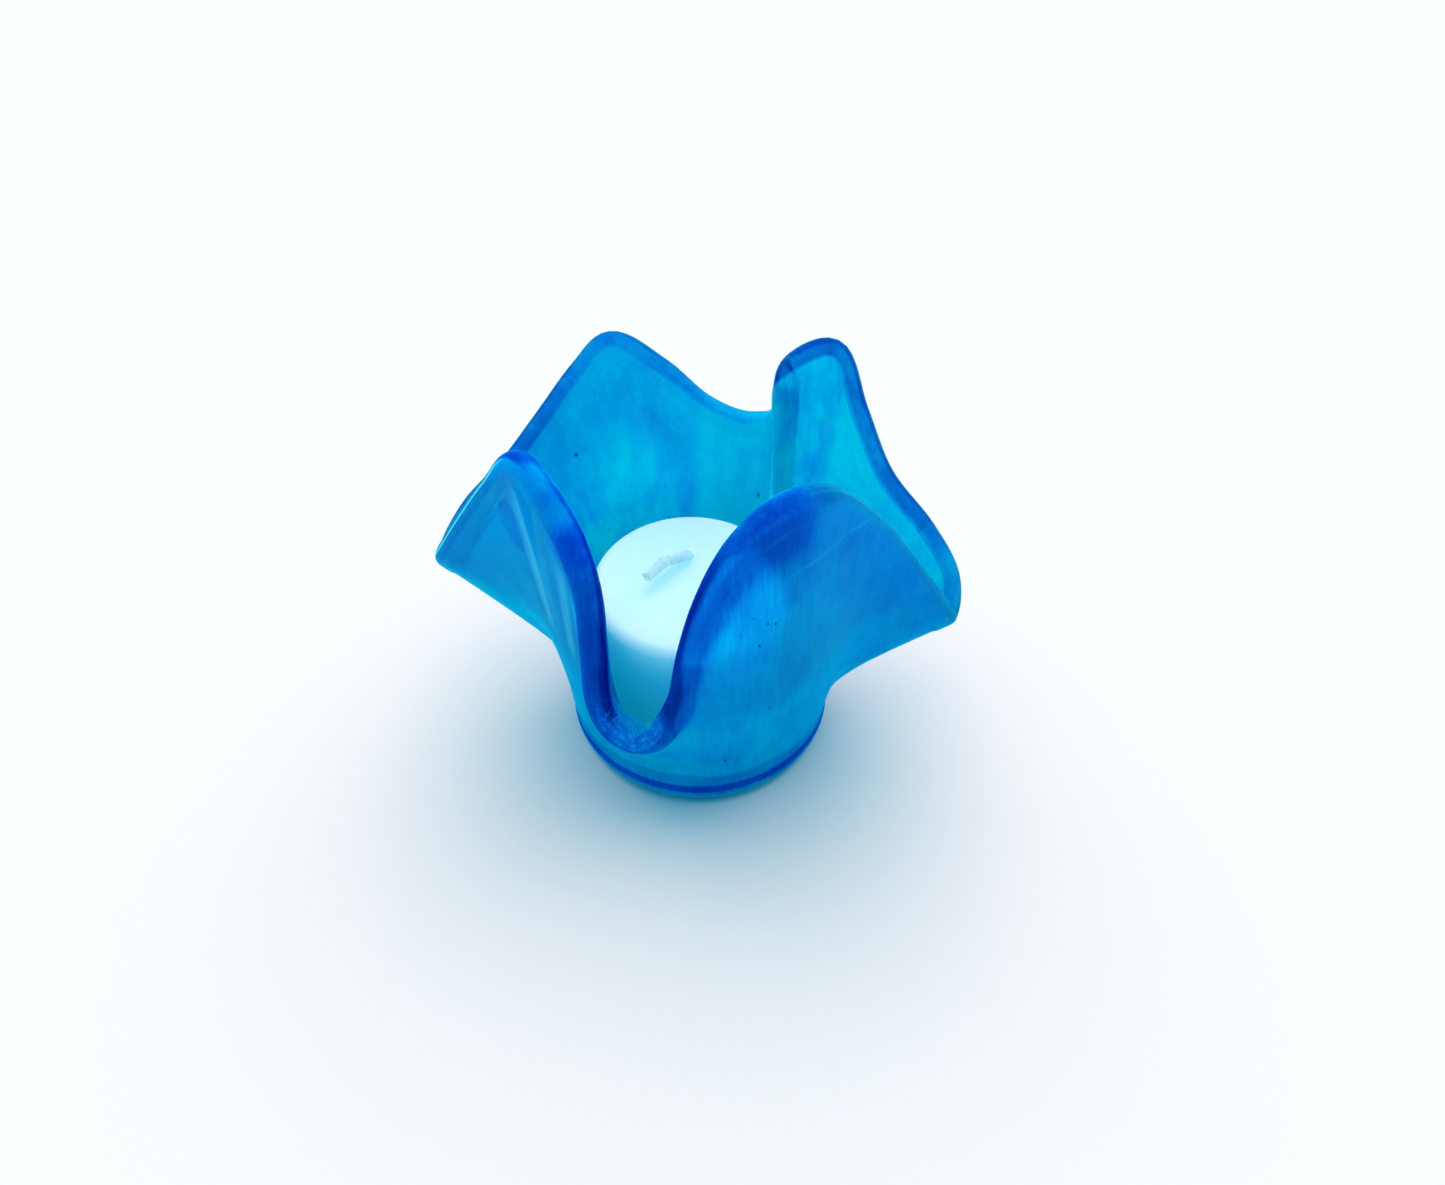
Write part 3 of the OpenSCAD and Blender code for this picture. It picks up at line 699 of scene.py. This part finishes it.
def run_tree(tree, base, name, **values):
    """Runs the tree on a base object and returns its result as a plain mesh object."""
    modifier = base.modifiers.new(tree.name, "NODES")
    modifier.node_group = tree
    for socket in tree.interface.items_tree:
        label = socket.name.replace(" ", "_")
        if socket.in_out == "INPUT" and label in values:
            modifier[socket.identifier] = values[label]
    graph = bpy.context.evaluated_depsgraph_get()
    mesh = bpy.data.meshes.new_from_object(base.evaluated_get(graph))
    bpy.data.objects.remove(base)
    piece = bpy.data.objects.new(name, mesh)
    scene.collection.objects.link(piece)
    print(name + ":", len(mesh.vertices), "points,", len(mesh.polygons), "faces")
    return piece


print("tree helpers ready")

# %% [markdown]
# ## Seeds in the glass
# Glass that is fused in a kiln keeps small air bubbles, called seeds. Those that come up to a
# face of the sheet show as small dark blue pinholes, for little light comes out of them.
# Dots in the colour would be flat from the side, so each is a tiny ball sunk into the face,
# and one tree puts a ball at every place. The ones low in the sheet were drawn out with it.

# %% Seed material, and the tree that puts a ball at each place
pinhole, tree = new_material("seed_in_glass")
# The balls are matt and dark blue: painted shade, for the little light that comes out of an open seed
shader = add_node(tree, "ShaderNodeBsdfPrincipled", {
    "Base Color": linear("#00386e"), "Roughness": 0.7, "Specular IOR Level": 0.0})
add_node(tree, "ShaderNodeOutputMaterial", {"Surface": shader})

tree, given = new_tree("seeds", Fineness="Int")
ball = add_node(tree, "GeometryNodeMeshIcoSphere", {"Radius": 1.0, "Subdivisions": given["Fineness"]})
wide, tall = (
    result(add_node(tree, "GeometryNodeInputNamedAttribute", {"Name": name}, data_type="FLOAT"), "Attribute")
    for name in ("wide", "tall"))
size = add_node(tree, "ShaderNodeCombineXYZ", {"X": wide, "Y": wide, "Z": tall})
balls = add_node(tree, "GeometryNodeInstanceOnPoints", {
    "Points": given["Geometry"], "Instance": ball, "Scale": size})
finish_tree(tree, balls, given["Material"])
print("seed tree:", len(tree.nodes), "nodes")

# %% Seeds
# Millimetres along the rim, share of the way up, hollow's radius, how drawn out, and 1 outside or -1 inside
SEEDS = [
    (147, 0.80, 0.40, 1.1, -1), (136, 0.62, 0.25, 1.0, -1), (122, 0.48, 0.30, 1.2, -1), (129, 0.42, 0.25, 1.0, -1),
    (130, 0.37, 0.34, 1.2, -1), (145, 0.45, 0.36, 1.2, -1), (250, 0.55, 0.30, 1.6, 1), (92, 0.62, 0.36, 2.4, -1),
    (103, 0.58, 0.22, 1.0, -1), (370, 0.90, 0.22, 1.0, 1), (361, 0.63, 0.20, 3.0, 1), (363, 0.60, 0.20, 3.0, 1),
    (359, 0.55, 0.38, 1.2, 1), (344, 0.12, 0.40, 1.3, 1), (364, 0.25, 0.30, 1.8, 1), (365, 0.40, 0.22, 1.4, 1),
    (206, 0.70, 0.22, 1.0, 1), (354, 0.66, 0.15, 3.0, 1), (357, 0.70, 0.15, 3.5, 1), (118, 0.70, 0.16, 1.0, -1),
]
SUNK, SEED_SIZE = 0.6, 0.85
places = []
for mm, share, radius, _, face in SEEDS:
    column, row = int(np.argmin(np.abs(run - mm))), int(np.argmin(np.abs(share_up - share)))
    half_wall = (outside if face > 0 else inside)[row, column]
    places.append(mid[row, column] + face * (half_wall - SUNK * radius) * out[row, column])
base = mesh_object("seed_places", np.array(places) * MM, [])
point_values(base.data, "wide", [seed[2] * SEED_SIZE * MM for seed in SEEDS])
point_values(base.data, "tall", [seed[2] * seed[3] * SEED_SIZE * MM for seed in SEEDS])
seeds = run_tree(tree, base, "glass_seeds", Fineness=2, Material=pinhole)
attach(seeds, "holder")

# %% [markdown]
# ## Wax
# A votive candle is paraffin poured into a slightly tapered mould, so it is smooth, with a
# rounded top edge. The wax is white, but its colour is painted a pale cyan: painted light,
# the cast of the blue-green light that comes through the glass. Light enters its top,
# wanders through it and leaves low on its side, which is why the side glows in the colour
# of the glass round it. That is subsurface scattering, over about a centimetre. What
# wanders farther is painted light: a faint, even teal glow that the wax gives off, though
# it is no lamp. A faint mottle keeps the wax from looking like plastic.

# %% Wax material: mottle 4 mm wide, and a skin that is uneven by 0.7 mm
MOTTLES, SKIN_GRAINS = 260.0, 1400.0
WAX_REACH = (0.008, 0.0095, 0.0105)
wax, tree = new_material("cast_paraffin_wax")
place = result(add_node(tree, "ShaderNodeTexCoord"), "Object")
mottle = add_node(tree, "ShaderNodeTexNoise", {"Vector": place, "Scale": MOTTLES, "Detail": 4.0})
skin = add_node(tree, "ShaderNodeTexNoise", {"Vector": place, "Scale": SKIN_GRAINS, "Detail": 2.0})
# Both tones of the mottle are pale cyan: painted light, the glass's cast on white wax
colour = add_node(tree, "ShaderNodeMix", {
    "Factor": mottle, "A": linear("#b6e2f2"), "B": linear("#c2e6f5")}, data_type="RGBA")
bump = add_node(tree, "ShaderNodeBump", {"Height": mottle, "Strength": 0.15, "Distance": 0.0002})
bump = add_node(tree, "ShaderNodeBump", {"Height": skin, "Strength": 0.08, "Distance": 0.0001, "Normal": bump})
# The teal emission is painted light: a faint glow for the light that wanders farthest, though the wax is no lamp
shader = add_node(tree, "ShaderNodeBsdfPrincipled", {
    "Base Color": colour, "Roughness": 0.42, "IOR": 1.44, "Specular IOR Level": 0.3, "Subsurface Weight": 1.0,
    "Subsurface Radius": WAX_REACH, "Subsurface Scale": 1.0, "Normal": bump,
    "Emission Color": linear("#00f3ff"), "Emission Strength": 0.17})
add_node(tree, "ShaderNodeOutputMaterial", {"Surface": shader})
print("wax:", len(tree.nodes), "nodes")

# %% [markdown]
# The candle is turned: one outline goes round an axis. Only, the wick stands behind the
# middle, and the hollow for its tab with it. So each row of the outline also says how far
# its circle has moved towards the wick, and the tree turns the rows round those centres.

# %% The candle's outline: radius, share of the way to the wick, height
CANDLE_R, CANDLE_H, TAPER, TOP_ROUND, BASE_ROUND = 19.0, 31.5, 0.8, 2.2, 1.8
WICK_R, WICK_BACK, SHIFT = 1.0, 6.3, 1.7
TAB_R, TAB_T, NECK_R, NECK_H = 6.65, 0.4, 1.75, 3.15
ROUND_STEPS, TOP_STEPS = 8, 13
outline = [(0, 1, NECK_H), (NECK_R, 1, NECK_H), (NECK_R, 1, TAB_T), (TAB_R, 1, TAB_T), (TAB_R, 1, 0)]
base_r = CANDLE_R - TAPER
for t in np.linspace(0, math.pi / 2, ROUND_STEPS):
    outline.append((base_r - BASE_ROUND * (1 - math.sin(t)), 0, BASE_ROUND * (1 - math.cos(t))))
for t in np.linspace(0, math.pi / 2, TOP_STEPS):
    outline.append((CANDLE_R - TOP_ROUND * (1 - math.cos(t)), 0, CANDLE_H - TOP_ROUND * (1 - math.sin(t))))
print("outline of the base and side:", len(outline), "rows")

# %% The candle's top: slightly hollow, with a little wax drawn up the wick
HOLLOW, HOLLOW_R, HOLLOW_WIDTH = 0.1, 4, 11
DRAWN_UP, DRAWN_WIDTH = 0.55, 0.45
ROUND_WICK_R = 1.3
TOP_ROWS = (15.5, 13, 10.5, 8, 6, 4.5, 3.4, 2.6, 2.0, 1.6, ROUND_WICK_R, 1.1, 0)
flat_r = CANDLE_R - TOP_ROUND
for r in TOP_ROWS:
    to_wick = min((flat_r - r) / (flat_r - ROUND_WICK_R), 1)
    z = CANDLE_H - HOLLOW + HOLLOW * ease((r - HOLLOW_R) / HOLLOW_WIDTH)
    outline.append((r, to_wick, z + DRAWN_UP * math.exp(-max(r - WICK_R, 0) / DRAWN_WIDTH)))
print("outline:", len(outline), "rows")

# %% The tree that turns an outline
SAME_POINT = 1e-6
tree, given = new_tree("turned_candle", Rows="Int", Columns="Int", Wick_Back="Float", Centre="Vector")
across = add_node(tree, "FunctionNodeIntegerMath", {0: given["Columns"], 1: 1}, operation="ADD")
sheet = add_node(tree, "GeometryNodeMeshGrid", {"Vertices X": given["Rows"], "Vertices Y": across})
index = add_node(tree, "GeometryNodeInputIndex")
row = add_node(tree, "FunctionNodeIntegerMath", {0: index, 1: across}, operation="DIVIDE")
column = add_node(tree, "FunctionNodeIntegerMath", {0: index, 1: across}, operation="MODULO")
where = add_node(tree, "GeometryNodeInputPosition")
picked = add_node(tree, "GeometryNodeSampleIndex", {
    "Geometry": given["Geometry"], "Value": where, "Index": row}, data_type="FLOAT_VECTOR")
parts = add_node(tree, "ShaderNodeSeparateXYZ", {0: picked})
part_turn = add_node(tree, "ShaderNodeMath", {0: column, 1: given["Columns"]}, operation="DIVIDE")
angle = add_node(tree, "ShaderNodeMath", {0: part_turn, 1: 2 * math.pi}, operation="MULTIPLY")
cos, sin = (add_node(tree, "ShaderNodeMath", {0: angle}, operation=o) for o in ("COSINE", "SINE"))
x = add_node(tree, "ShaderNodeMath", {0: parts.outputs["X"], 1: cos}, operation="MULTIPLY")
y = add_node(tree, "ShaderNodeMath", {0: parts.outputs["X"], 1: sin}, operation="MULTIPLY")
back = add_node(tree, "ShaderNodeMath", {
    0: parts.outputs["Y"], 1: given["Wick Back"], 2: y}, operation="MULTIPLY_ADD")
turned = add_node(tree, "ShaderNodeCombineXYZ", {"X": x, "Y": back, "Z": parts.outputs["Z"]})
moved = add_node(tree, "ShaderNodeVectorMath", {0: turned, 1: given["Centre"]}, operation="ADD")
body = add_node(tree, "GeometryNodeSetPosition", {"Geometry": result(sheet, "Mesh"), "Position": moved})
body = add_node(tree, "GeometryNodeMergeByDistance", {"Geometry": body, "Distance": SAME_POINT})
finish_tree(tree, body, given["Material"])
print("turning tree:", len(tree.nodes), "nodes")

# %% The turned candle
COLUMNS = 96
base = mesh_object("candle_outline", [(r * MM, s, z * MM) for r, s, z in outline], [])
candle = run_tree(tree, base, "candle_body", Rows=len(outline), Columns=COLUMNS, Wick_Back=WICK_BACK * MM,
                  Centre=(-SHIFT * MM, 0.0, FLOOR_T * MM), Material=wax)
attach(candle, "candle")
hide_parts("candle_wax")

# %% [markdown]
# ## Wick
# The wick is a flat-braided cotton cord that was dipped in wax, so it is stiff, pale and
# almost as smooth as a straw. It leans over, has a drop of wax with a small burr where it
# was pinched, and its cut end shows the wax skin as a ring round the fibres. A tube swept
# along a line is the plain way to make a cord: the braid then follows the bend by itself.

# %% Wick material: cotton fibres in bundles 0.4 mm wide, under a skin of wax
FIBRES, WICK_REACH = 2600.0, (0.002, 0.002, 0.002)
cotton, tree = new_material("waxed_braided_cotton")
place = result(add_node(tree, "ShaderNodeTexCoord"), "Object")
fibres = add_node(tree, "ShaderNodeTexNoise", {"Vector": place, "Scale": FIBRES, "Detail": 2.0})
# The fibres' pale blue-grey is partly painted: the glass's cast and a little shade on pale waxed cotton
colour = add_node(tree, "ShaderNodeMix", {
    "Factor": fibres, "A": linear("#a2d0d8"), "B": linear("#ccf0f2")}, data_type="RGBA")
bump = add_node(tree, "ShaderNodeBump", {"Height": fibres, "Strength": 0.2, "Distance": 0.0001})
shader = add_node(tree, "ShaderNodeBsdfPrincipled", {
    "Base Color": colour, "Alpha": 0.42, "Roughness": 0.35, "IOR": 1.44, "Subsurface Weight": 1.0,
    "Subsurface Radius": WICK_REACH, "Subsurface Scale": 1.0, "Normal": bump})
add_node(tree, "ShaderNodeOutputMaterial", {"Surface": shader})
print("wick:", len(tree.nodes), "nodes")

# %% The wick's line, with X the way it leans, and its radius at each point, in millimetres and degrees
BEND, BEND_MID, FIRST, LAST, DROOP, KINK, LEANS = 62.0, 2.0, 5.5, 5.2, 26.0, 14.0, math.radians(219)
IN_WAX, BEND_POINTS = (12, 6, 3), 6


def heading(bend, side):
    """The direction that is bent over from straight up, and then turned sideways."""
    b, s = math.radians(bend), math.radians(side)
    return np.array([math.sin(b) * math.cos(s), math.sin(b) * math.sin(s), math.cos(b)])


stem_top = CANDLE_H - BEND_MID * math.sin(math.radians(BEND)) / 3
line = [np.array([0, 0, CANDLE_H - deep]) for deep in IN_WAX]
for t in np.radians(np.linspace(0, BEND, BEND_POINTS)):
    line.append(np.array([BEND_MID * (1 - math.cos(t)), 0, BEND_MID * math.sin(t) + stem_top]))
bent = line[-1]
lump = bent + FIRST * heading(BEND + DROOP / 2, 0)
tip = lump + LAST * heading(BEND + DROOP, KINK)
line += [bent + (lump - bent) * share for share in (0.35, 0.7, 0.88)] + [lump]
line += [lump + (tip - lump) * share for share in (0.12, 0.3, 0.65, 1)]
radii = [WICK_R] * (len(IN_WAX) + BEND_POINTS) + [1.02, 1.0, 1.03, 1.22, 1.08, 0.98, 0.96, 1.02]
turn = np.array([[math.cos(LEANS), -math.sin(LEANS), 0], [math.sin(LEANS), math.cos(LEANS), 0], [0, 0, 1]])
line = np.array(line) @ turn.T + [-SHIFT, WICK_BACK, FLOOR_T]
print("wick line:", len(line), "points, tip", [round(float(v), 1) for v in line[-1]])

# %% The wick's tree: a tube swept along the line, thicker at the lump
TUBE_ROWS, TUBE_SIDES = 150, 36
tree, given = new_tree(
    "braided_wick", Strands="Float", Lay="Float", Relief="Float", Burr_At="Vector", Burr="Vector", Burr_Size="Float")
curve = add_node(tree, "GeometryNodeMeshToCurve", {"Mesh": given["Geometry"]})
curve = add_node(tree, "GeometryNodeCurveSplineType", {"Curve": curve}, spline_type="CATMULL_ROM")
curve = add_node(tree, "GeometryNodeResampleCurve", {"Curve": curve, "Count": TUBE_ROWS})
at = add_node(tree, "GeometryNodeSplineParameter")
curve = add_node(tree, "GeometryNodeStoreNamedAttribute", {
    "Geometry": curve, "Name": "length", "Value": at.outputs["Length"]}, data_type="FLOAT")
loop = add_node(tree, "GeometryNodeCurvePrimitiveCircle", {"Resolution": TUBE_SIDES, "Radius": 1.0})
loop = add_node(tree, "GeometryNodeStoreNamedAttribute", {
    "Geometry": result(loop, "Curve"), "Name": "turn", "Value": at.outputs["Factor"]}, data_type="FLOAT")
thick, far, round_it = (
    result(add_node(tree, "GeometryNodeInputNamedAttribute", {"Name": name}, data_type="FLOAT"), "Attribute")
    for name in ("thick", "length", "turn"))
tube = add_node(tree, "GeometryNodeCurveToMesh", {
    "Curve": curve, "Profile Curve": loop, "Scale": thick, "Fill Caps": True})
print("swept tube:", TUBE_ROWS, "rows of", TUBE_SIDES)

# %% The wick's braid: two sets of strands that wind opposite ways, the higher one showing
strand = add_node(tree, "ShaderNodeMath", {0: round_it, 1: given["Strands"]}, operation="MULTIPLY")
laid = add_node(tree, "ShaderNodeMath", {0: far, 1: given["Lay"]}, operation="DIVIDE")
waves = []
for way in ("ADD", "SUBTRACT"):
    phase = add_node(tree, "ShaderNodeMath", {0: strand, 1: laid}, operation=way)
    phase = add_node(tree, "ShaderNodeMath", {0: phase, 1: 2 * math.pi}, operation="MULTIPLY")
    waves.append(add_node(tree, "ShaderNodeMath", {0: phase}, operation="SINE"))
braid = add_node(tree, "ShaderNodeMath", {0: waves[0], 1: waves[1]}, operation="MAXIMUM")
relief = add_node(tree, "ShaderNodeMath", {0: braid, 1: given["Relief"]}, operation="MULTIPLY")
print("braid:", len(tree.nodes), "nodes so far")

# %% The wick's burr, a small pinch of wax pulled to one side
BURR_POINTED = 2.0
normal = add_node(tree, "GeometryNodeInputNormal")
raised = add_node(tree, "ShaderNodeVectorMath", {0: normal, "Scale": relief}, operation="SCALE")
here = add_node(tree, "GeometryNodeInputPosition")
gap = add_node(tree, "ShaderNodeVectorMath", {0: here, 1: given["Burr At"]}, operation="DISTANCE")
close = add_node(tree, "ShaderNodeMapRange", {
    "Value": gap, "From Min": given["Burr Size"], "From Max": 0.0}, interpolation_type="SMOOTHSTEP")
close = add_node(tree, "ShaderNodeMath", {0: close, 1: BURR_POINTED}, operation="POWER")
pulled = add_node(tree, "ShaderNodeVectorMath", {0: given["Burr"], "Scale": close}, operation="SCALE")
offset = add_node(tree, "ShaderNodeVectorMath", {0: raised, 1: pulled}, operation="ADD")
tube = add_node(tree, "GeometryNodeSetPosition", {"Geometry": tube, "Offset": offset})
print("burr:", len(tree.nodes), "nodes so far")

# %% The wick's cut ends: a ring of wax skin, and the fibres sunk inside it
MOST_CORNERS, INSIDE_SKIN, CUT_DEPTH = 8.0, 0.76, 0.00025
corners = result(add_node(tree, "GeometryNodeInputMeshFaceNeighbors"), "Vertex Count")
round_cap = add_node(tree, "FunctionNodeCompare", {
    0: corners, 1: MOST_CORNERS}, data_type="FLOAT", operation="GREATER_THAN")
ringed = add_node(tree, "GeometryNodeExtrudeMesh", {"Mesh": tube, "Selection": round_cap, "Offset Scale": 0.0})
ringed_mesh = add_node(tree, "GeometryNodeScaleElements", {
    "Geometry": result(ringed, "Mesh"), "Selection": result(ringed, "Top"), "Scale": INSIDE_SKIN})
sunk = add_node(tree, "GeometryNodeExtrudeMesh", {
    "Mesh": ringed_mesh, "Selection": result(ringed, "Top"), "Offset Scale": -CUT_DEPTH})
finish_tree(tree, result(sunk, "Mesh"), given["Material"])
print("wick tree:", len(tree.nodes), "nodes")

# %% The wick: four strands each way, and in millimetres the braid's repeat and relief and the burr's size
STRANDS, LAY, RELIEF, BURR_SIZE, BURR_OUT = 4.0, 2.4, 0.03, 0.9, 1.2
BURR_SIDE = (0.1, 0.75, 0.65)
base = mesh_object("wick_line", line * MM, [], edges=[(i, i + 1) for i in range(len(line) - 1)])
point_values(base.data, "thick", np.array(radii) * MM)
burr_side = turn @ np.array(BURR_SIDE)
burr_at = (turn @ lump + [-SHIFT, WICK_BACK, FLOOR_T]) + WICK_R * BURR_OUT * burr_side
wick = run_tree(
    tree, base, "candle_wick_braid", Strands=STRANDS, Lay=LAY * MM, Relief=RELIEF * MM, Burr_At=tuple(burr_at * MM),
    Burr=tuple(burr_side * BURR_SIZE * MM), Burr_Size=BURR_SIZE * MM, Material=cotton)
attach(wick, "candle")
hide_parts("candle_wick")

# %% [markdown]
# ## Wick tab
# Under the wax, a stamped disc of tinplate holds the wick's foot. Its shape is right as it
# comes from the solids, so it only gets its metal: cool grey, with fine rolling scratches
# that lie one way.

# %% Tab material: rolling scratches 0.25 mm apart, drawn out 25 times as long
SCRATCHES, ALONG_ROLL = 4000.0, (0.04, 1.0, 1.0)
tin, tree = new_material("stamped_tinplate")
place = result(add_node(tree, "ShaderNodeTexCoord"), "Object")
rolled = add_node(tree, "ShaderNodeMapping", {"Vector": place, "Scale": ALONG_ROLL})
scratches = add_node(tree, "ShaderNodeTexNoise", {"Vector": rolled, "Scale": SCRATCHES, "Detail": 2.0})
colour = add_node(tree, "ShaderNodeMix", {
    "Factor": scratches, "A": linear("#b9bcbd"), "B": linear("#d6d8d6")}, data_type="RGBA")
roughness = add_node(tree, "ShaderNodeMapRange", {"Value": scratches, "To Min": 0.22, "To Max": 0.45})
bump = add_node(tree, "ShaderNodeBump", {"Height": scratches, "Strength": 0.15, "Distance": 0.00005})
shader = add_node(tree, "ShaderNodeBsdfPrincipled", {
    "Base Color": colour, "Metallic": 1.0, "Roughness": roughness, "Normal": bump})
add_node(tree, "ShaderNodeOutputMaterial", {"Surface": shader})
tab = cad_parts["wick_tab"]
tab.data.materials.clear()
tab.data.materials.append(tin)
